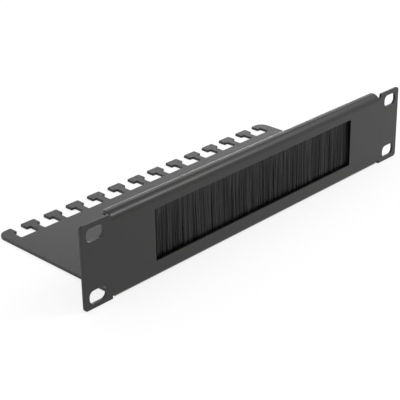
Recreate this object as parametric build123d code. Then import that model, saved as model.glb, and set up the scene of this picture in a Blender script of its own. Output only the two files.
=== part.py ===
from build123d import *
import math
import os
import random

# Rack brush strip panel, one unit high, for a 10-inch rack, with a cable tray folded back from its lower edge.
# Millimetres, X to the right, Y to the rear, Z up.
# Origin: middle of the front plate's rear face, the plane that seats on the rack's rails.

# Sheet, front plate and the flat ears at its ends
sheet = 1.5
panel_width = 254.0
panel_height = 43.6
ear_width = 19.8
ear_corner_r = 2.0

# Rack slots, the inset from the panel's ends to their middles
slot_inset = 8.7375
slot_spacing_z = 31.75
slot_length = 10.8
slot_height = 6.8

# Brush window
window_width = 158.8
window_height = 27.7
window_lift = 0.45

# Flange, the two folds, and the relief cuts in the ears beside them
relief_width = 1.8
relief_depth = 1.9
flange_depth = 7.0
flange_bend_r = 2.5
flange_corner_r = 1.2
tray_bend_r = 0.5

# Tray
tray_depth = 89.2
tray_rise_deg = 2.3
tray_corner_r = 6.0

# Row of tie hooks along the tray's rear edge, with at least a land left at each of its ends
hook_land = 9.0
hook_pitch = 15.74
hook_head_width = 9.4
hook_head_depth = 5.5
hook_stem_width = 4.4
hook_depth = 11.85
hook_corner_r = 0.8
hook_root_r = 0.5

# Strip brush: folded channel, core wire and bristles
channel_inset = 0.6
channel_wall = 0.45
channel_depth = 5.4
wire_r = 0.7
bristle_inset = 0.4
bristle_thickness = 2.3
bristle_overlap = 2.6

# Bristle tufts, the last three in shares of their pitch
tuft_pitch = 1.8
tuft_relief = 0.55
tuft_crest = 0.4
tuft_foot = 0.72
tuft_scatter = 0.1

# Adhesive between the channel and the inside of the flange's fold
bond_thickness = 0.3
bond_front_drop = 1.2
bond_rear_reach = 1.4

# Values tied to the ones above
front_y = -sheet
top_z = panel_height / 2
bottom_z = -panel_height / 2
fold_width = panel_width - 2 * ear_width
fold_half = fold_width / 2
slot_spacing_x = panel_width - 2 * slot_inset
window_bottom_z = window_lift - window_height / 2
flange_outer_r = flange_bend_r + sheet
tray_outer_r = tray_bend_r + sheet
tray_rise = math.radians(tray_rise_deg)
tray_root = 3 * tray_outer_r
nest_y = front_y + flange_outer_r
nest_z = top_z - flange_outer_r
channel_r = flange_bend_r - bond_thickness
lip_z = nest_z + channel_r - channel_depth
tip_z = window_bottom_z - bristle_overlap
channel_length = fold_width - 2 * channel_inset
bristle_length = channel_length - 2 * bristle_inset


def folded_strip():
    """One bent strip: flange, front and the root of the tray, with the brush window cut in it."""
    with BuildPart() as fold:
        with BuildSketch(Plane.YZ):
            with BuildLine():
                FilletPolyline(
                    (front_y + flange_depth, top_z),
                    (front_y, top_z),
                    (front_y, bottom_z),
                    (front_y + tray_root * math.cos(tray_rise), bottom_z + tray_root * math.sin(tray_rise)),
                    radius=[flange_outer_r, tray_outer_r],
                )
                offset(amount=sheet, side=Side.LEFT)
            make_face()
        extrude(amount=fold_half, both=True)
        fillet(fold.edges().filter_by(Axis.Z).group_by(Axis.Y)[-1], radius=flange_corner_r)
        with Locations((0, front_y + sheet / 2, window_lift)):
            Box(window_width, 2 * sheet, window_height, mode=Mode.SUBTRACT)
    return fold.part


def hooked_tray():
    """Flat tray behind the fold, with the gaps that leave a row of T-shaped hooks."""
    under_tray = Plane(
        origin=(0, front_y, bottom_z),
        x_dir=(1, 0, 0),
        z_dir=(0, -math.sin(tray_rise), math.cos(tray_rise)),
    )
    mouth = hook_pitch - hook_head_width
    pocket = hook_pitch - hook_stem_width
    gap_y = tray_depth - hook_depth
    neck_y = tray_depth - hook_head_depth
    hook_count = int((fold_width - 2 * hook_land - mouth) / hook_pitch)
    gap_xs = [(index - hook_count / 2) * hook_pitch for index in range(hook_count + 1)]
    with BuildPart() as tray:
        with BuildSketch(under_tray) as outline:
            with Locations((0, (tray_root + tray_depth) / 2)):
                Rectangle(fold_width, tray_depth - tray_root)
            fillet(outline.vertices().group_by(Axis.Y)[-1], radius=tray_corner_r)
            with Locations([(x, (gap_y + tray_depth) / 2) for x in gap_xs]):
                Rectangle(mouth, hook_depth, mode=Mode.SUBTRACT)
            with Locations([(x, (gap_y + neck_y) / 2) for x in gap_xs]):
                Rectangle(pocket, neck_y - gap_y, mode=Mode.SUBTRACT)
            fillet(vertices_beside(outline, gap_xs, mouth / 2), radius=hook_corner_r)
            fillet(vertices_beside(outline, gap_xs, pocket / 2), radius=hook_root_r)
        extrude(amount=sheet)
    return tray.part


def vertices_beside(outline, centres, half_width):
    """Vertices of an outline that lie half a width to either side of a gap's centre."""
    return [
        vertex
        for vertex in outline.vertices()
        if any(math.isclose(abs(vertex.X - x), half_width, abs_tol=0.001) for x in centres)
    ]


def slotted_ears():
    """Flat ears beside the folds, with the rack slots and the relief cuts."""
    relief_x = fold_half + relief_width / 2
    relief_z = top_z - relief_depth / 2
    with BuildPart() as ears:
        with BuildSketch(Plane.XZ) as outline:
            Rectangle(panel_width, panel_height)
            fillet(outline.vertices(), radius=ear_corner_r)
            Rectangle(fold_width, panel_height, mode=Mode.SUBTRACT)
            with GridLocations(2 * relief_x, 2 * relief_z, 2, 2):
                Rectangle(relief_width, relief_depth, mode=Mode.SUBTRACT)
            with GridLocations(slot_spacing_x, slot_spacing_z, 2, 2):
                SlotOverall(slot_length, slot_height, mode=Mode.SUBTRACT)
        extrude(amount=sheet)
    return ears.part


def brush_section(radius, lip_half):
    """Closed section of the strip brush's back: a round back that narrows to the lips."""
    with BuildSketch(Plane.YZ) as section:
        with BuildLine():
            Line((nest_y + lip_half, lip_z), (nest_y + radius, nest_z))
            CenterArc((nest_y, nest_z), radius, 0, 180)
            Line((nest_y - radius, nest_z), (nest_y - lip_half, lip_z))
            Line((nest_y - lip_half, lip_z), (nest_y + lip_half, lip_z))
        make_face()
    return section.sketch


def tuft_outline():
    """Section of the bristle curtain: tufts along its front, and along its rear half a pitch aside."""
    scatter = random.Random(11)
    half = bristle_length / 2
    count = round(bristle_length / tuft_pitch)
    pitch = bristle_length / count
    points = []
    for side, place in ((-1, 0.25), (1, 0.75)):
        row = []
        for index in range(count):
            middle = -half + (index + place) * pitch
            if 0 < index < count - 1:
                middle += scatter.uniform(-tuft_scatter, tuft_scatter) * pitch
            crest = nest_y + side * bristle_thickness / 2
            valley = crest - side * tuft_relief * scatter.uniform(0.7, 1.0)
            row += [
                (middle - tuft_foot * pitch / 2, valley),
                (middle - tuft_crest * pitch / 2, crest),
                (middle + tuft_crest * pitch / 2, crest),
                (middle + tuft_foot * pitch / 2, valley),
            ]
        row[0] = (-half, row[0][1])
        row[-1] = (half, row[-1][1])
        points += row if side < 0 else row[::-1]
    return points


def fold_corner():
    """Section of the space inside the flange's fold, as far as the adhesive is spread."""
    low_z = nest_z - bond_front_drop
    rear_y = nest_y + bond_rear_reach
    under_flange_z = top_z - sheet
    with BuildSketch(Plane.YZ) as section:
        with BuildLine():
            FilletPolyline((0, low_z), (0, under_flange_z), (rear_y, under_flange_z), radius=flange_bend_r)
            Polyline((rear_y, under_flange_z), (rear_y, low_z), (0, low_z))
        make_face()
    return section.sketch


channel_outside = brush_section(channel_r, bristle_thickness / 2 + channel_wall)
channel_inside = brush_section(channel_r - channel_wall, bristle_thickness / 2)

with BuildPart() as rack_panel:
    add(folded_strip())
    add(hooked_tray())
    add(slotted_ears())

with BuildPart() as brush_channel:
    add(extrude(channel_outside - channel_inside, amount=channel_length / 2, both=True))

with BuildPart() as core_wire:
    with BuildSketch(Plane.YZ):
        with Locations((nest_y, nest_z)):
            Circle(wire_r)
    extrude(amount=bristle_length / 2, both=True)

with BuildPart() as bristle_curtain:
    add(extrude(channel_inside, amount=bristle_length / 2, both=True))
    with BuildSketch(Plane.XY.offset(tip_z)):
        with BuildLine():
            Polyline(*tuft_outline(), close=True)
        make_face()
    extrude(amount=lip_z - tip_z)
    add(core_wire.part, mode=Mode.SUBTRACT)

with BuildPart() as adhesive_bond:
    add(extrude(fold_corner() - channel_outside, amount=channel_length / 2, both=True))

parts = {
    "rack_panel": rack_panel.part,
    "brush_channel": brush_channel.part,
    "core_wire": core_wire.part,
    "bristle_curtain": bristle_curtain.part,
    "adhesive_bond": adhesive_bond.part,
}
os.makedirs("parts", exist_ok=True)
for name, shape in parts.items():
    print(name, "volume", round(shape.volume), "solids", len(shape.solids()), "valid", shape.is_valid)
    export_step(shape, f"parts/{name}.step")
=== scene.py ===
import math
import random
from collections import namedtuple

import bpy
from mathutils import Matrix, Vector, noise
from mathutils.geometry import delaunay_2d_cdt


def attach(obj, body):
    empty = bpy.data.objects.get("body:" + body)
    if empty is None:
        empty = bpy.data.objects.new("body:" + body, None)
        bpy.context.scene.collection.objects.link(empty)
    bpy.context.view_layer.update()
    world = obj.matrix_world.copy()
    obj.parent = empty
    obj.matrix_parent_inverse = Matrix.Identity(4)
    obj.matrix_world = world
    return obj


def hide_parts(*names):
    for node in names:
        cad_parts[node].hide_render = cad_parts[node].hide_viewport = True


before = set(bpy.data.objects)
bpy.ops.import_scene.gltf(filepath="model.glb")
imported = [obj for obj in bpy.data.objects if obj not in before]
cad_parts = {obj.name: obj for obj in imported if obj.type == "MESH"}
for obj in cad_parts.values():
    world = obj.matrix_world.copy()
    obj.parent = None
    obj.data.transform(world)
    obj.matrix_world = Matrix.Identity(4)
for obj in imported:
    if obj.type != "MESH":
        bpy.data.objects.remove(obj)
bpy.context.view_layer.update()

MM = 0.001

# Sizes of the folded sheet, in millimetres in the part's frame: X right, Y to the rear, Z up
SHEET = 1.5
PANEL_HALF = 127.0
TOP_Z = 21.8
FRONT_Y = -SHEET
EAR_CORNER_R = 2.0
FOLD_HALF = 107.2
RELIEF_WIDTH = 1.8
RELIEF_DEPTH = 1.9
SLOT_X = 118.2625
SLOT_Z = 15.875
SLOT_HALF_LENGTH = 5.4
SLOT_HALF_HEIGHT = 3.4
SLOT_CORNER_R = 2.8
WINDOW_HALF = 79.4
WINDOW_TOP_Z = 14.3
WINDOW_BOTTOM_Z = -13.4
FLANGE_DEPTH = 7.0
FLANGE_R = 4.3
FOLD_Y = FRONT_Y + FLANGE_R
FOLD_Z = TOP_Z - FLANGE_R
FLANGE_CORNER_R = 1.2
CURL_LENGTH = 1.4
CURL_R = 2.4
TRAY_R = 2.0
TRAY_DEPTH = 89.2
TRAY_RISE = math.radians(2.3)
TRAY_CORNER_R = 6.0
HOOK_PITCH = 15.74
HOOK_GAPS = range(-6, 7)
MOUTH_HALF = 3.17
POCKET_HALF = 5.67
POCKET_DEPTH = 77.35
NECK_DEPTH = 83.7
HOOK_CORNER_R = 0.8
HOOK_ROOT_R = 0.5

# Roundings too small for the solids: coated edges, outside and round the cut-outs, and laser-cut corners
EDGE_R = 0.25
HOLE_EDGE_R = 0.11
CUT_CORNER_R = 0.4

# The sheet's developed length, from the flange's rear edge to the tray's, along its outer face
TURN = math.pi / 2 + TRAY_RISE
TRAY_SETBACK = TRAY_R * math.tan(TURN / 2)
TOP_BEND = FLANGE_DEPTH - FLANGE_R
FRONT = TOP_BEND + FLANGE_R * math.pi / 2
LOW_BEND = FRONT + FOLD_Z + TOP_Z - TRAY_SETBACK
TRAY = LOW_BEND + TRAY_R * TURN
TRAY_CORNER = TRAY - TRAY_SETBACK
STRIP_END = TRAY_CORNER + TRAY_DEPTH

# The sheet's mesh: rows of points across its bends, columns beside the relief cuts, and steps round its edges
CURL_ROWS = 6
FLANGE_ROWS = 14
TRAY_ROWS = 12
RELIEF_COLUMNS = 6
EDGE_STEPS = 4
ARC_STEP = math.radians(12)
ROW_INSET = 1.0
ROOT_MARGIN = 0.1
SAME_PLACE = 0.001
LEAST_STEP = 0.0008
MERGE_DISTANCE = 1e-7

# The strip brush's channel, nested in the flange's fold
NEST_Y = 2.5
NEST_Z = 17.8
LIP_Z = 14.6
LIP_ROUNDING = 0.45
LIP_ARC_STEP = math.radians(30)
CHANNEL_R = 2.2
CHANNEL_WALL = 0.45
CHANNEL_HALF = 106.6
CHANNEL_LIP_HALF = 1.6
CHANNEL_ARC_STEPS = 20

# The adhesive bead: its top, the places of its rear and lower edges, and the rows of noise that move them; near
# both ends its rear edge reaches further, a dark mass that stands in for the shade in the hollow under the
# flange's ends, painted shade
BEAD_STEPS = 160
BEAD_ARC_STEPS = (8, 10)
BEAD_TOP = (4.6, 20.2)
BEAD_REAR = 4.75
BEAD_REAR_STEP = 0.12
BEAD_REAR_Z = (19.2, 19.75)
BEAD_LOW = 16.6
BEAD_LIP = ((0.12, -0.1), (0.22, 0.15))
BEAD_SINK = 0.03
BEAD_ANGLE = 28
BEAD_ANGLE_SPREAD = 12
BEAD_SPREAD = 0.4
BEAD_PITCH = 9
BEAD_RIPPLE_PITCH = 3
REAR_ROW, RIPPLE_ROW, LOW_ROW = 2, 5, 8
# Painted shade: how much further the bead reaches to the rear at both ends, and over what length, so that dark
# adhesive fills the shade under the flange's ends
SHADE_FILL_REACH = 0.55
SHADE_FILL_LENGTH = 6.0

# The bristles: filaments packed round the core wire, and their two legs from the lips down to the tips, which
# splay outwards and end in a last short step, a share of the leg
STRANDS = 4800
STRAND_R = (0.09, 0.17)
STRAND_SIDES = 3
BRISTLE_HALF = 106.2
WIRE_CLEAR_R = 0.85
PACK_R = 1.6
PACKING = 2.4
OVER_STEPS = 4
LEG_INNER = 0.12
LEG_OUTER = 1.0
LEG_LEAST = 0.05
LEG_STEPS = 7
SPLAY = 0.6
TIP_Z = -16.0
TIP_SHARE = 0.085
TIP_SCATTER = (-0.05, 0.45)
TIP_SWELL = 0.3
TIP_SWELL_PITCH = 6
TIP_ROW = 3

# One filament in so many hangs in the curtain's core, straighter, where it closes the gaps between tufts
CORE_EVERY = 4
CORE_LAYER = 0.3
CORE_LOOSE = 0.15

# Tufts, and the bunches that they lean, bend and gather in, with the spreads of their lean, bow and wave
Bend = namedtuple("Bend", "lean bow wave")
Tuft = namedtuple("Tuft", "middle half lean bow wave gather back pull hub")
BUNCH_WIDTH = (2.5, 7.5)
BUNCH_BEND = Bend(0.30, 0.24, 0.16)
BUNCH_PULL = (0.02, 0.10)
TUFT_WIDTH = (0.5, 1.3)
TUFT_BEND = Bend(0.16, 0.10, 0.10)
TUFT_GATHER = (0.05, 0.4)
TUFT_RECESS = (0.0, 0.06, 0.5, 0.85)
TUFT_RECESS_SPREAD = 0.12
STRAND_LEAN = 0.13
STRAND_BOW = 0.07
GATHER_RATE = 1.4

# The brush's visible bristles, in pieces from left to right
BRISTLE_PIECES = ("bristles_left", "bristles_middle", "bristles_right")
BRISTLE_SEED = 40

# Materials: scales of their noise, per metre, and the middle of its values, over which colour and gloss change
NOISE_SPREAD = (0.3, 0.7)
COLOUR_SPREAD = (0.35, 0.65)
PATCH_SCALE = 90.0
GRAIN_RATIO = 5
DRAW_SCALE = 900.0
DRAW_HEIGHT = 0.000002
WIRE_STREAKS = (60, 5000, 5000)
SHARP_ANGLE = math.radians(40)

# Camera, at the photograph's angle, in metres and radians
CAMERA_AZIMUTH = math.radians(-47.263)
CAMERA_ELEVATION = math.radians(24.215)
CAMERA_ROLL = math.radians(-1.001)
CAMERA_DISTANCE = 0.58042
CAMERA_TARGET = Vector((-0.047737, -0.0015, 0.008227))
CAMERA_CLIP = (0.01, 20)
FOCAL_PIXELS = 1171.207
IMAGE_PIXELS = 400
SENSOR = 36.0

# Light: a white room with a dimmer ceiling, and soft lamps, each with its direction, its size and its radiance
ROOM_DIFFUSE = 0.85
CEILING = 0.68
CEILING_HEIGHT = (0.45, 0.7)
LAMP_DISTANCE = 1.2
LAMPS = (
    ("softbox", Vector((0.565, -0.449, 0.692)), (0.19, 0.40), 13.0),
    ("rear_strip", Vector((0.691, 0.715, 0.105)), (0.60, 0.16), 5.5),
    ("side_box", Vector((0.718, -0.050, 0.695)), (0.35, 0.25), 2.0),
)

# A pale floor just under the tray
FLOOR_COLOUR = 0.3
FLOOR_GLOW = 0.72
FLOOR_HALF = 6.0
FLOOR_GAP = 0.00002


def developed(z):
    """Developed length at a height on the front plate."""
    return FRONT + FOLD_Z - z


def section(s):
    """Point and outward normal, in (Y, Z), of the folded strip's outer face."""
    if s < CURL_LENGTH:
        turn = (CURL_LENGTH - s) / CURL_R
        out = Vector((math.sin(turn), math.cos(turn)))
        return Vector((FRONT_Y + FLANGE_DEPTH - CURL_LENGTH, TOP_Z - CURL_R)) + CURL_R * out, out
    if s < TOP_BEND:
        return Vector((FRONT_Y + FLANGE_DEPTH - s, TOP_Z)), Vector((0, 1))
    if s < FRONT:
        turn = (s - TOP_BEND) / FLANGE_R
        out = Vector((-math.sin(turn), math.cos(turn)))
        return Vector((FOLD_Y, FOLD_Z)) + FLANGE_R * out, out
    if s < LOW_BEND:
        return flat_section(s)
    turn = min((s - LOW_BEND) / TRAY_R, TURN)
    out = Vector((-math.cos(turn), -math.sin(turn)))
    centre = Vector((FRONT_Y + TRAY_R, TRAY_SETBACK - TOP_Z))
    beyond = max(0, s - TRAY)
    return centre + TRAY_R * out + beyond * Vector((math.cos(TRAY_RISE), math.sin(TRAY_RISE))), out


def flat_section(s):
    """The same for the front plate and the ears, which stay flat."""
    return Vector((FRONT_Y, FOLD_Z + FRONT - s)), Vector((-1, 0))


def folded(x, s, depth, aim):
    """Folded place and normal of a point depth below the developed sheet's face, with aim as its flat normal."""
    ease = min(max((abs(x) - FOLD_HALF) / RELIEF_WIDTH, 0), 1)
    ease = ease * ease * (3 - 2 * ease)
    bent, bent_out = section(s)
    flat, flat_out = flat_section(s)
    out = bent_out.lerp(flat_out, ease).normalized()
    along = Vector((-out.y, out.x))
    spot = bent.lerp(flat, ease) - depth * out
    facing = aim[1] * along + aim[2] * out
    return (x, spot.x, spot.y), (aim[0], facing.x, facing.y)


def rounded(corners, step=ARC_STEP):
    """Closed loop of points from corners (x, s, radius), each with a radius above 0 replaced by an arc."""
    loop = []
    for index, (x, s, radius) in enumerate(corners):
        corner = Vector((x, s))
        if not radius:
            loop.append(corner)
            continue
        before = (Vector(corners[index - 1][:2]) - corner).normalized()
        after = (Vector(corners[(index + 1) % len(corners)][:2]) - corner).normalized()
        half = before.angle(after) / 2
        centre = corner + (before + after).normalized() * radius / math.sin(half)
        arm = corner + before * radius / math.tan(half) - centre
        sweep = math.copysign(math.pi - 2 * half, after.cross(before))
        count = math.ceil(abs(sweep) / step)
        loop += [centre + Matrix.Rotation(sweep * k / count, 2) @ arm for k in range(count + 1)]
    return loop


def split(loop, rows, columns):
    """The loop with added points where it crosses the rows, at fixed s, and the columns, at fixed x."""
    result = []
    for here, there in zip(loop, loop[1:] + loop[:1]):
        result.append(here)
        shares = [(row - here.y) / (there.y - here.y) for row in rows if there.y != here.y]
        shares += [(column - here.x) / (there.x - here.x) for column in columns if there.x != here.x]
        least = LEAST_STEP / (there - here).length
        result += [here.lerp(there, share) for share in sorted(shares) if least < share < 1 - least]
    return result


def strip_outline():
    """Corners of the developed sheet, its material on the left."""
    top, bottom = developed(TOP_Z), developed(-TOP_Z)
    relief_top, relief_bottom = top + RELIEF_DEPTH, bottom - RELIEF_DEPTH
    relief_x = FOLD_HALF + RELIEF_WIDTH
    right = [
        (FOLD_HALF, 0, FLANGE_CORNER_R),
        (FOLD_HALF, relief_top, CUT_CORNER_R),
        (relief_x, relief_top, CUT_CORNER_R),
        (relief_x, top, CUT_CORNER_R),
        (PANEL_HALF, top, EAR_CORNER_R),
        (PANEL_HALF, bottom, EAR_CORNER_R),
        (relief_x, bottom, CUT_CORNER_R),
        (relief_x, relief_bottom, CUT_CORNER_R),
        (FOLD_HALF, relief_bottom, CUT_CORNER_R),
        (FOLD_HALF, STRIP_END, TRAY_CORNER_R),
    ]
    pocket, neck = TRAY_CORNER + POCKET_DEPTH, TRAY_CORNER + NECK_DEPTH
    hooks = []
    for gap in reversed(HOOK_GAPS):
        half_gap = [
            (MOUTH_HALF, STRIP_END, HOOK_CORNER_R),
            (MOUTH_HALF, neck, HOOK_CORNER_R),
            (POCKET_HALF, neck, HOOK_ROOT_R),
            (POCKET_HALF, pocket, HOOK_ROOT_R),
        ]
        hooks += [(gap * HOOK_PITCH + x, s, radius) for x, s, radius in half_gap]
        hooks += [(gap * HOOK_PITCH - x, s, radius) for x, s, radius in reversed(half_gap)]
    left = [(-x, s, radius) for x, s, radius in reversed(right)]
    return right + hooks + left


def hole(x, z, half_length, half_height, radius):
    """Loop round a hole in the front plate, the sheet's material on its left."""
    low, high = developed(z + half_height), developed(z - half_height)
    signs = [(-1, low), (-1, high), (1, high), (1, low)]
    return rounded([(x + side * half_length, s, radius) for side, s in signs])


def sheet_loops(rows, columns):
    """Loops round the developed sheet, split at the mesh's rows and columns, its window and its slots."""
    window_z = (WINDOW_TOP_Z + WINDOW_BOTTOM_Z) / 2
    window_half_height = (WINDOW_TOP_Z - WINDOW_BOTTOM_Z) / 2
    loops = [split(rounded(strip_outline()), rows, columns)]
    loops.append(hole(0, window_z, WINDOW_HALF, window_half_height, CUT_CORNER_R))
    for x in (-SLOT_X, SLOT_X):
        for z in (-SLOT_Z, SLOT_Z):
            loops.append(hole(x, z, SLOT_HALF_LENGTH, SLOT_HALF_HEIGHT, SLOT_CORNER_R))
    return loops


def inset_normals(loop):
    """For each point of a loop, the step into the material that moves both its sides by 1."""
    result = []
    for before, here, after in zip(loop[-1:] + loop[:-1], loop, loop[1:] + loop[:1]):
        first, second = (here - before).normalized(), (after - here).normalized()
        first, second = Vector((-first.y, first.x)), Vector((-second.y, second.x))
        result.append((first + second) / (1 + first.dot(second)))
    return result


def inside(point, loop):
    """Whether a point is inside a closed loop."""
    crossings = 0
    for a, b in zip(loop, loop[1:] + loop[:1]):
        if (a.y > point.y) != (b.y > point.y):
            crossings += point.x < a.x + (point.y - a.y) / (b.y - a.y) * (b.x - a.x)
    return crossings % 2


def flat_mesh(rims, rows, columns):
    """Points, the rims' first, and triangles of the flat sheet within its rims, with edges along the rows."""
    flat, edges = [], []
    for rim in rims:
        first = len(flat)
        flat += rim
        edges += [(first + k, first + (k + 1) % len(rim)) for k in range(len(rim))]

    side = FOLD_HALF - EDGE_R
    root = developed(TOP_Z) + RELIEF_DEPTH + EDGE_R
    for row in rows:
        ends = [
            k for k, p in enumerate(rims[0])
            if abs(abs(p.x) - side) < SAME_PLACE and abs(p.y - row) < SAME_PLACE
        ]
        if len(ends) == 2:
            edges.append(tuple(ends))
            continue
        xs = [-FOLD_HALF + ROW_INSET, FOLD_HALF - ROW_INSET]
        if root + ROOT_MARGIN < row <= FRONT:
            xs = sorted(xs + columns)
        first = len(flat)
        flat += [Vector((x, row)) for x in xs]
        edges += [(first + k, first + k + 1) for k in range(len(xs) - 1)]

    cut, _, triangles, _, _, _ = delaunay_2d_cdt(flat, edges, [], 1, MERGE_DISTANCE)
    if len(cut) != len(flat):
        raise ValueError(f"the sheet's flat mesh went from {len(flat)} to {len(cut)} points")
    kept = []
    for triangle in triangles:
        middle = sum((cut[k] for k in triangle), Vector((0, 0))) / len(triangle)
        if inside(middle, rims[0]) and not any(inside(middle, rim) for rim in rims[1:]):
            kept.append(tuple(triangle))
    return cut, kept


def edge_profile(edge_r):
    """Steps (inset, depth, turn) of a rounded edge, between the sheet's outer face and its inner one."""
    turns = [math.pi / 2 * k / EDGE_STEPS for k in range(1, EDGE_STEPS + 1)]
    outer = [(edge_r * (1 - math.sin(a)), edge_r * (1 - math.cos(a)), a) for a in turns]
    inner = [(inset, SHEET - depth, math.pi - a) for inset, depth, a in reversed(outer)]
    return outer + inner[:-1]


def ring_faces(upper, lower):
    """Quads between two rings of the same length."""
    count = len(upper)
    return [(upper[k], upper[(k + 1) % count], lower[(k + 1) % count], lower[k]) for k in range(count)]


def folded_sheet():
    """The panel: one sheet with coated, rounded edges, cut in the flat and then folded."""
    rows = [CURL_LENGTH * k / CURL_ROWS for k in range(1, CURL_ROWS + 1)]
    rows += [TOP_BEND + (FRONT - TOP_BEND) * k / FLANGE_ROWS for k in range(FLANGE_ROWS + 1)]
    rows += [LOW_BEND + (TRAY - LOW_BEND) * k / TRAY_ROWS for k in range(TRAY_ROWS + 1)]
    relief = [FOLD_HALF + RELIEF_WIDTH * k / RELIEF_COLUMNS for k in range(RELIEF_COLUMNS + 1)]
    columns = [-x for x in relief] + relief
    loops = sheet_loops(rows, columns)
    insets = [inset_normals(loop) for loop in loops]
    edge_rs = [EDGE_R] + [HOLE_EDGE_R] * (len(loops) - 1)
    rims = [[p + n * r for p, n in zip(loop, inset)] for loop, inset, r in zip(loops, insets, edge_rs)]
    cut, triangles = flat_mesh(rims, rows, columns)
    points, normals = [], []

    def add(spot, depth, aim):
        place, normal = folded(spot.x, spot.y, depth, aim)
        points.append(place)
        normals.append(normal)

    for spot in cut:
        add(spot, 0, (0, 0, 1))
    for spot in cut:
        add(spot, SHEET, (0, 0, -1))
    lower = len(cut)
    faces = [triangle[::-1] for triangle in triangles]
    faces += [tuple(k + lower for k in triangle) for triangle in triangles]

    first = 0
    for loop, inset, edge_r in zip(loops, insets, edge_rs):
        count = len(loop)
        above = list(range(first, first + count))
        for offset, depth, turn in edge_profile(edge_r):
            ring = list(range(len(points), len(points) + count))
            for spot, step in zip(loop, inset):
                side_step = -step.normalized() * math.sin(turn)
                add(spot + step * offset, depth, (side_step.x, side_step.y, math.cos(turn)))
            faces += ring_faces(above, ring)
            above = ring
        faces += ring_faces(above, list(range(lower + first, lower + first + count)))
        first += count
    return points, faces, normals


def arc(radius, start, end, count, middle=(NEST_Y, NEST_Z)):
    """Points round the channel's middle, or another, at angles in degrees from +Y towards +Z."""
    angles = [math.radians(start + (end - start) * k / count) for k in range(count + 1)]
    return [(middle[0] + radius * math.cos(a), middle[1] + radius * math.sin(a)) for a in angles]


def channel_section():
    """The folded steel strip that holds the bristles: a round back and two rolled lips."""
    inner_lip = CHANNEL_LIP_HALF - CHANNEL_WALL
    lip_r = CHANNEL_WALL * LIP_ROUNDING
    corners = [(NEST_Y + CHANNEL_LIP_HALF, LIP_Z, lip_r)]
    corners += [(y, z, 0) for y, z in arc(CHANNEL_R, 0, 180, CHANNEL_ARC_STEPS)]
    corners += [(NEST_Y - CHANNEL_LIP_HALF, LIP_Z, lip_r), (NEST_Y - inner_lip, LIP_Z, lip_r)]
    corners += [(y, z, 0) for y, z in arc(CHANNEL_R - CHANNEL_WALL, 180, 0, CHANNEL_ARC_STEPS)]
    corners += [(NEST_Y + inner_lip, LIP_Z, lip_r)]
    return rounded(corners, LIP_ARC_STEP)


def swept(loop, half):
    """Points and faces of a section (Y, Z), anticlockwise seen from +X, run along X."""
    count = len(loop)
    points = [(side * half, p.x, p.y) for side in (-1, 1) for p in loop]
    left, right = list(range(count)), list(range(count, 2 * count))
    return points, ring_faces(left, right) + [tuple(reversed(left)), tuple(right)]


def bead():
    """Adhesive between the fold and the channel, squeezed out by uneven amounts along both sides, and further to
    the rear near both ends, where the dark mass stands in for the shade under the flange's ends (painted shade).
    """
    points, faces = [], []
    ring = None

    def uneven(x, pitch, row):
        return noise.noise(Vector((x / pitch, row, 0)))

    for step in range(BEAD_STEPS + 1):
        x = -CHANNEL_HALF + 2 * CHANNEL_HALF * step / BEAD_STEPS
        wander = uneven(x, BEAD_PITCH, REAR_ROW)
        rear = BEAD_REAR + BEAD_SPREAD * (wander + uneven(x, BEAD_RIPPLE_PITCH, RIPPLE_ROW) / 2)
        # Painted shade: near both ends the rear edge reaches further, so that dark adhesive fills the shaded
        # hollow under the flange's ends
        rear += SHADE_FILL_REACH * max(0, 1 - (CHANNEL_HALF - abs(x)) / SHADE_FILL_LENGTH)
        low = BEAD_LOW + BEAD_SPREAD * uneven(x, BEAD_PITCH, LOW_ROW)
        last_angle = BEAD_ANGLE + BEAD_ANGLE_SPREAD * wander
        outline = [BEAD_TOP] + arc(FLANGE_R - SHEET, 90, 180, BEAD_ARC_STEPS[0], (FOLD_Y, FOLD_Z))
        outline += [(0, low)] + [(y, low + rise) for y, rise in BEAD_LIP]
        outline += arc(CHANNEL_R - BEAD_SINK, 180, last_angle, BEAD_ARC_STEPS[1])
        outline += [(rear - BEAD_REAR_STEP, BEAD_REAR_Z[0]), (rear, BEAD_REAR_Z[1])]
        new = list(range(len(points), len(points) + len(outline)))
        points += [(x, y, z) for y, z in outline]
        faces += ring_faces(ring, new) if ring else [tuple(reversed(new))]
        ring = new
    faces.append(tuple(ring))
    return points, faces


def tufts(rng, low_x, high_x):
    """Tufts along one side of the brush, in bunches that lean and bend together."""
    result = []
    x = low_x
    bunch_end = low_x
    while x < high_x:
        if x >= bunch_end:
            bunch_start, bunch_end = x, x + rng.uniform(*BUNCH_WIDTH)
            lean, bow, wave = [rng.gauss(0, spread) for spread in BUNCH_BEND]
            pull = rng.uniform(*BUNCH_PULL)
        half = rng.uniform(*TUFT_WIDTH) / 2
        result.append(Tuft(
            middle=x + half,
            half=half,
            lean=lean + rng.gauss(0, TUFT_BEND.lean),
            bow=bow + rng.gauss(0, TUFT_BEND.bow),
            wave=wave + rng.gauss(0, TUFT_BEND.wave),
            gather=rng.uniform(*TUFT_GATHER),
            back=rng.choice(TUFT_RECESS) + rng.uniform(0, TUFT_RECESS_SPREAD),
            pull=pull,
            hub=(bunch_start + bunch_end) / 2,
        ))
        x += 2 * half
    return result


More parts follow.
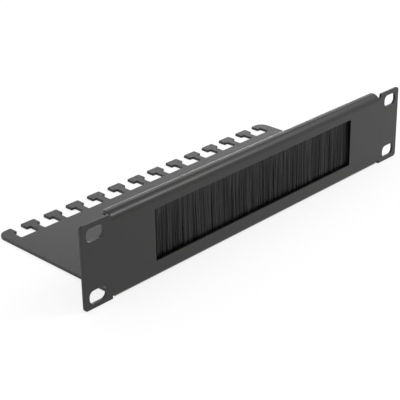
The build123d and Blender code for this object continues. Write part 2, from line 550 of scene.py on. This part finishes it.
def leg_path(x, layer, side, tuft, rng):
    """Centreline of one side of a bristle, from the lips to its tip; layer is 0 in the core and 1 outside."""
    lean = tuft.lean + rng.gauss(0, STRAND_LEAN)
    bow = tuft.bow + rng.gauss(0, STRAND_BOW)
    offset = LEG_INNER + (LEG_OUTER - LEG_INNER) * layer
    loose = max(layer, CORE_LOOSE)
    swell = TIP_SWELL * noise.noise(Vector((x / TIP_SWELL_PITCH, side, TIP_ROW)))
    tip = TIP_Z + rng.uniform(*TIP_SCATTER) + swell
    limit = BRISTLE_HALF - STRAND_R[1]
    leg = []
    for k in range(LEG_STEPS + 1):
        share = 1 if k == LEG_STEPS else k * (1 - TIP_SHARE) / (LEG_STEPS - 1)
        reach = math.sin(math.pi * min(1, share * GATHER_RATE) / 2)
        drift = lean * share + bow * math.sin(math.pi * share) + tuft.wave * math.sin(2 * math.pi * share)
        drift += (tuft.gather * (tuft.middle - x) + tuft.pull * (tuft.hub - x)) * reach
        drift *= loose
        recess = tuft.back * reach * layer * (1 + abs(x - tuft.middle) / tuft.half) / 2
        y = max(offset * (1 + SPLAY * share ** 2) - recess, LEG_LEAST)
        spot = (min(max(x + drift, -limit), limit), NEST_Y + side * y, LIP_Z + (tip - LIP_Z) * share)
        leg.append(Vector(spot))
    return leg


def strand_path(x, layer, sides, rng):
    """Centreline of one bristle: up one side, round the core wire and down the other side."""
    legs = []
    for side, row in zip((-1, 1), sides):
        tuft = min(row, key=lambda item: abs(x - item.middle) - item.half)
        legs.append(leg_path(x, layer, side, tuft, rng))
    radius = WIRE_CLEAR_R + (PACK_R - WIRE_CLEAR_R) * layer
    over = [Vector((x, y, z)) for y, z in arc(radius, 180, 0, OVER_STEPS)]
    return legs[0][::-1] + over + legs[1]


def strands(count, low_x, high_x, seed):
    """Points and faces of the bristles between two places along the brush."""
    rng = random.Random(seed)
    sides = [tufts(rng, low_x, high_x) for _ in range(2)]
    points, faces = [], []
    for index in range(count):
        x = low_x + (high_x - low_x) * (index + rng.random()) / count
        core = index % CORE_EVERY == 0
        layer = rng.uniform(0, CORE_LAYER) if core else 1 - (1 - CORE_LAYER) * rng.random() ** PACKING
        path = strand_path(x, layer, sides, rng)
        ring = None
        spin = rng.uniform(0, 2 * math.pi)
        radius = rng.uniform(*STRAND_R)
        for k, spot in enumerate(path):
            along = path[min(k + 1, len(path) - 1)] - path[max(k - 1, 0)]
            across = Vector((0, along.z, -along.y)).normalized()
            sideways = across.cross(along).normalized()
            new = list(range(len(points), len(points) + STRAND_SIDES))
            for corner in range(STRAND_SIDES):
                turn = spin + 2 * math.pi * corner / STRAND_SIDES
                points.append(spot + radius * (math.cos(turn) * across + math.sin(turn) * sideways))
            faces += ring_faces(new, ring) if ring else [tuple(new)]
            ring = new
        faces.append(tuple(reversed(ring)))
    return points, faces


def piece_from(name, points, faces, normals=None):
    """A mesh piece on body root, from points in millimetres."""
    mesh = bpy.data.meshes.new(name)
    mesh.from_pydata([Vector(p) * MM for p in points], [], faces)
    mesh.validate()
    mesh.polygons.foreach_set("use_smooth", [True] * len(mesh.polygons))
    if normals:
        mesh.normals_split_custom_set_from_vertices([Vector(n).normalized() for n in normals])
    piece = bpy.data.objects.new(name, mesh)
    bpy.context.scene.collection.objects.link(piece)
    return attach(piece, "root")


def material_slot(piece, material):
    """Gives a piece its material."""
    piece.data.materials.clear()
    piece.data.materials.append(material)


def new_material(name):
    """A new material and its empty node tree."""
    material = bpy.data.materials.new(name)
    material.use_nodes = True
    material.node_tree.nodes.clear()
    return material, material.node_tree


def add_node(tree, kind, settings=None, links=None, **values):
    """Adds a node and sets its properties, links and input values, whose names have _ for a space."""
    node = tree.nodes.new(kind)
    for key, value in (settings or {}).items():
        setattr(node, key, value)
    for key, value in values.items():
        node.inputs[key.replace("_", " ")].default_value = value
    for key, source in (links or {}).items():
        tree.links.new(source, node.inputs[key])
    return node


def object_place(tree):
    """Object coordinates, in metres."""
    return add_node(tree, "ShaderNodeTexCoord").outputs["Object"]


def map_range(tree, value, spread, target):
    """A value carried from one range to another."""
    node = add_node(
        tree, "ShaderNodeMapRange", links={"Value": value},
        From_Min=spread[0], From_Max=spread[1], To_Min=target[0], To_Max=target[1],
    )
    return node.outputs["Result"]


def ramp(tree, value, first, last, *between):
    """Colour for a value from 0 to 1, by stops (place, colour)."""
    node = add_node(tree, "ShaderNodeValToRGB", links={"Fac": value})
    stops = node.color_ramp.elements
    for stop, (place, colour) in zip(list(stops), (first, last)):
        stop.position = place
        stop.color = (*colour, 1)
    for place, colour in between:
        stops.new(place).color = (*colour, 1)
    return node.outputs["Color"]


def finish_surface(tree, colour, gloss, normal=None, **values):
    """The principled shader and the output that end a material."""
    links = {"Base Color": colour, "Roughness": gloss}
    if normal:
        links["Normal"] = normal
    shader = add_node(tree, "ShaderNodeBsdfPrincipled", links=links, **values)
    add_node(tree, "ShaderNodeOutputMaterial", links={"Surface": shader.outputs["BSDF"]})


def coated(name, dark, light, rough, peel, peel_height, grain_height, specular=0.5):
    """A coated or moulded surface: slight colour and gloss variation, orange peel and fine grain."""
    material, tree = new_material(name)
    place = object_place(tree)
    patches = add_node(tree, "ShaderNodeTexNoise", links={"Vector": place}, Scale=PATCH_SCALE, Detail=3.0)
    wide = add_node(tree, "ShaderNodeTexNoise", links={"Vector": place}, Scale=peel, Detail=1.0)
    fine = add_node(tree, "ShaderNodeTexNoise", links={"Vector": place}, Scale=peel * GRAIN_RATIO, Detail=2.0)
    first = add_node(
        tree, "ShaderNodeBump", links={"Height": wide.outputs["Fac"]}, Distance=peel_height, Strength=1.0,
    )
    second = add_node(
        tree, "ShaderNodeBump",
        links={"Height": fine.outputs["Fac"], "Normal": first.outputs["Normal"]},
        Distance=grain_height, Strength=1.0,
    )
    finish_surface(
        tree,
        colour=ramp(tree, patches.outputs["Fac"], (COLOUR_SPREAD[0], dark), (COLOUR_SPREAD[1], light)),
        gloss=map_range(tree, patches.outputs["Fac"], NOISE_SPREAD, rough),
        normal=second.outputs["Normal"],
        IOR=1.5, Specular_IOR_Level=specular,
    )
    return material


def bristle_material():
    """Black nylon filaments, each a little lighter or darker than the next."""
    material, tree = new_material("black_nylon")
    place = object_place(tree)
    island = add_node(tree, "ShaderNodeNewGeometry").outputs["Random Per Island"]
    draw = add_node(tree, "ShaderNodeTexNoise", links={"Vector": place}, Scale=DRAW_SCALE, Detail=2.0)
    bump = add_node(
        tree, "ShaderNodeBump", links={"Height": draw.outputs["Fac"]}, Distance=DRAW_HEIGHT, Strength=1.0,
    )
    darkest, middle, lightest = (0.0020, 0.0020, 0.0021), (0.0065, 0.0065, 0.0064), (0.0240, 0.0240, 0.0232)
    finish_surface(
        tree,
        colour=ramp(tree, island, (0, darkest), (1, lightest), (0.7, middle)),
        gloss=map_range(tree, draw.outputs["Fac"], NOISE_SPREAD, (0.30, 0.40)),
        normal=bump.outputs["Normal"],
        IOR=1.53,
    )
    return material


def wire_material():
    """Drawn steel wire, streaked along its length."""
    material, tree = new_material("drawn_wire")
    stretch = add_node(tree, "ShaderNodeMapping", links={"Vector": object_place(tree)}, Scale=WIRE_STREAKS)
    streaks = add_node(
        tree, "ShaderNodeTexNoise", links={"Vector": stretch.outputs["Vector"]}, Scale=1.0, Detail=3.0,
    )
    finish_surface(
        tree,
        colour=ramp(tree, streaks.outputs["Fac"], (0, (0.32, 0.32, 0.33)), (1, (0.48, 0.48, 0.49))),
        gloss=map_range(tree, streaks.outputs["Fac"], NOISE_SPREAD, (0.25, 0.42)),
        Metallic=1.0,
    )
    return material


def make_camera():
    """The camera that took the photograph, square to a 400 by 400 image."""
    camera = bpy.data.cameras.new("camera")
    camera.sensor_width = SENSOR
    camera.lens = SENSOR * FOCAL_PIXELS / IMAGE_PIXELS
    camera.clip_start, camera.clip_end = CAMERA_CLIP
    shot = bpy.data.objects.new("camera", camera)
    bpy.context.scene.collection.objects.link(shot)
    back = Vector((
        math.sin(CAMERA_AZIMUTH) * math.cos(CAMERA_ELEVATION),
        -math.cos(CAMERA_AZIMUTH) * math.cos(CAMERA_ELEVATION),
        math.sin(CAMERA_ELEVATION),
    ))
    level = Vector((math.cos(CAMERA_AZIMUTH), math.sin(CAMERA_AZIMUTH), 0))
    axes = Matrix((level, back.cross(level), back)).transposed().to_4x4()
    place = Matrix.Translation(CAMERA_TARGET + back * CAMERA_DISTANCE)
    shot.matrix_world = place @ axes @ Matrix.Rotation(CAMERA_ROLL, 4, "Z")
    bpy.context.scene.camera = shot


def seen_rays(tree):
    """1 for camera, glossy and transmission rays, and 0 for the rays that light a surface."""
    path = add_node(tree, "ShaderNodeLightPath")
    first = add_node(
        tree, "ShaderNodeMath", {"operation": "MAXIMUM"},
        {0: path.outputs["Is Camera Ray"], 1: path.outputs["Is Glossy Ray"]},
    )
    second = add_node(
        tree, "ShaderNodeMath", {"operation": "MAXIMUM"},
        {0: first.outputs[0], 1: path.outputs["Is Transmission Ray"]},
    )
    return second.outputs[0]


def make_room():
    """White to look at and to reflect, dimmer overhead, and a little less as a light."""
    world = bpy.data.worlds.new("room")
    world.use_nodes = True
    bpy.context.scene.world = world
    tree = world.node_tree
    tree.nodes.clear()
    lit = add_node(tree, "ShaderNodeBackground", Color=(1, 1, 1, 1), Strength=ROOM_DIFFUSE)
    direction = add_node(tree, "ShaderNodeTexCoord").outputs["Generated"]
    height = add_node(tree, "ShaderNodeSeparateXYZ", links={0: direction}).outputs["Z"]
    strength = map_range(tree, height, CEILING_HEIGHT, (1.0, CEILING))
    seen = add_node(tree, "ShaderNodeBackground", links={"Strength": strength}, Color=(1, 1, 1, 1))
    mix = add_node(
        tree, "ShaderNodeMixShader",
        links={0: seen_rays(tree), 1: lit.outputs[0], 2: seen.outputs[0]},
    )
    add_node(tree, "ShaderNodeOutputWorld", links={"Surface": mix.outputs[0]})


def make_lamps():
    """Soft lamps that face the part, high to the front right and to the right, and low to the rear right."""
    for name, direction, size, radiance in LAMPS:
        light = bpy.data.lights.new(name, "AREA")
        light.shape = "RECTANGLE"
        light.size, light.size_y = size
        light.energy = radiance * math.pi * size[0] * size[1]
        lamp = bpy.data.objects.new(name, light)
        lamp.visible_camera = False
        bpy.context.scene.collection.objects.link(lamp)
        back = direction.normalized()
        along = (Vector((1, 0, 0)) - back * back.x).normalized()
        axes = Matrix((along, back.cross(along), back)).transposed().to_4x4()
        lamp.matrix_world = Matrix.Translation(back * LAMP_DISTANCE) @ axes


def make_floor():
    """A pale floor that the tray lies flat on, white to look at away from the object's shadow."""
    material, tree = new_material("pale_floor")
    matt = add_node(tree, "ShaderNodeBsdfDiffuse", Color=(FLOOR_COLOUR, FLOOR_COLOUR, FLOOR_COLOUR, 1))
    strength = add_node(tree, "ShaderNodeMath", {"operation": "MULTIPLY"}, {0: seen_rays(tree)})
    strength.inputs[1].default_value = FLOOR_GLOW
    glow = add_node(tree, "ShaderNodeEmission", links={"Strength": strength.outputs[0]}, Color=(1, 1, 1, 1))
    both = add_node(tree, "ShaderNodeAddShader", links={0: matt.outputs[0], 1: glow.outputs[0]})
    add_node(tree, "ShaderNodeOutputMaterial", links={"Surface": both.outputs[0]})
    signs = ((-1, -1), (1, -1), (1, 1), (-1, 1))
    mesh = bpy.data.meshes.new("floor")
    mesh.from_pydata([(x * FLOOR_HALF, y * FLOOR_HALF, 0) for x, y in signs], [], [(0, 1, 2, 3)])
    mesh.materials.append(material)
    floor = bpy.data.objects.new("floor", mesh)
    bpy.context.scene.collection.objects.link(floor)
    touch = Matrix.Translation(Vector((0, FRONT_Y, -TOP_Z)) * MM)
    slope = Matrix.Rotation(TRAY_RISE, 4, "X")
    floor.matrix_world = touch @ slope @ Matrix.Translation((0, 0, -FLOOR_GAP))


black_coat = coated(
    "black_powder_coat", dark=(0.0018, 0.0036, 0.0012), light=(0.0028, 0.0050, 0.0022),
    rough=(0.33, 0.37), peel=1400.0, peel_height=0.000004, grain_height=0.000001,
)
channel_coat = coated(
    "black_coated_strip", dark=(0.010, 0.010, 0.0105), light=(0.016, 0.016, 0.0165),
    rough=(0.36, 0.46), peel=2500.0, peel_height=0.000003, grain_height=0.000001,
)
bond = coated(
    "black_adhesive", dark=(0.003, 0.003, 0.003), light=(0.006, 0.006, 0.006),
    rough=(0.75, 0.85), peel=700.0, peel_height=0.00003, grain_height=0.000003, specular=0.15,
)
nylon = bristle_material()

points, faces, normals = folded_sheet()
panel = piece_from("panel_sheet", points, faces, normals)
material_slot(panel, black_coat)
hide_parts("rack_panel")

points, faces = swept(channel_section(), CHANNEL_HALF)
channel = piece_from("channel_strip", points, faces)
channel.data.set_sharp_from_angle(angle=SHARP_ANGLE)
material_slot(channel, channel_coat)
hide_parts("brush_channel")

reach = BRISTLE_HALF - STRAND_R[1]
shares = len(BRISTLE_PIECES)
for index, name in enumerate(BRISTLE_PIECES):
    low_x = -reach + 2 * reach * index / shares
    points, faces = strands(STRANDS // shares, low_x, low_x + 2 * reach / shares, BRISTLE_SEED + index)
    bristles = piece_from(name, points, faces)
    material_slot(bristles, nylon)
    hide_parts("bristle_curtain")

points, faces = bead()
adhesive = piece_from("adhesive_bead", points, faces)
material_slot(adhesive, bond)
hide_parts("adhesive_bond")

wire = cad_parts["core_wire"]
wire.data.materials.clear()
wire.data.materials.append(wire_material())

make_camera()
make_room()
make_lamps()
make_floor()
bpy.context.scene.view_settings.view_transform = "Standard"
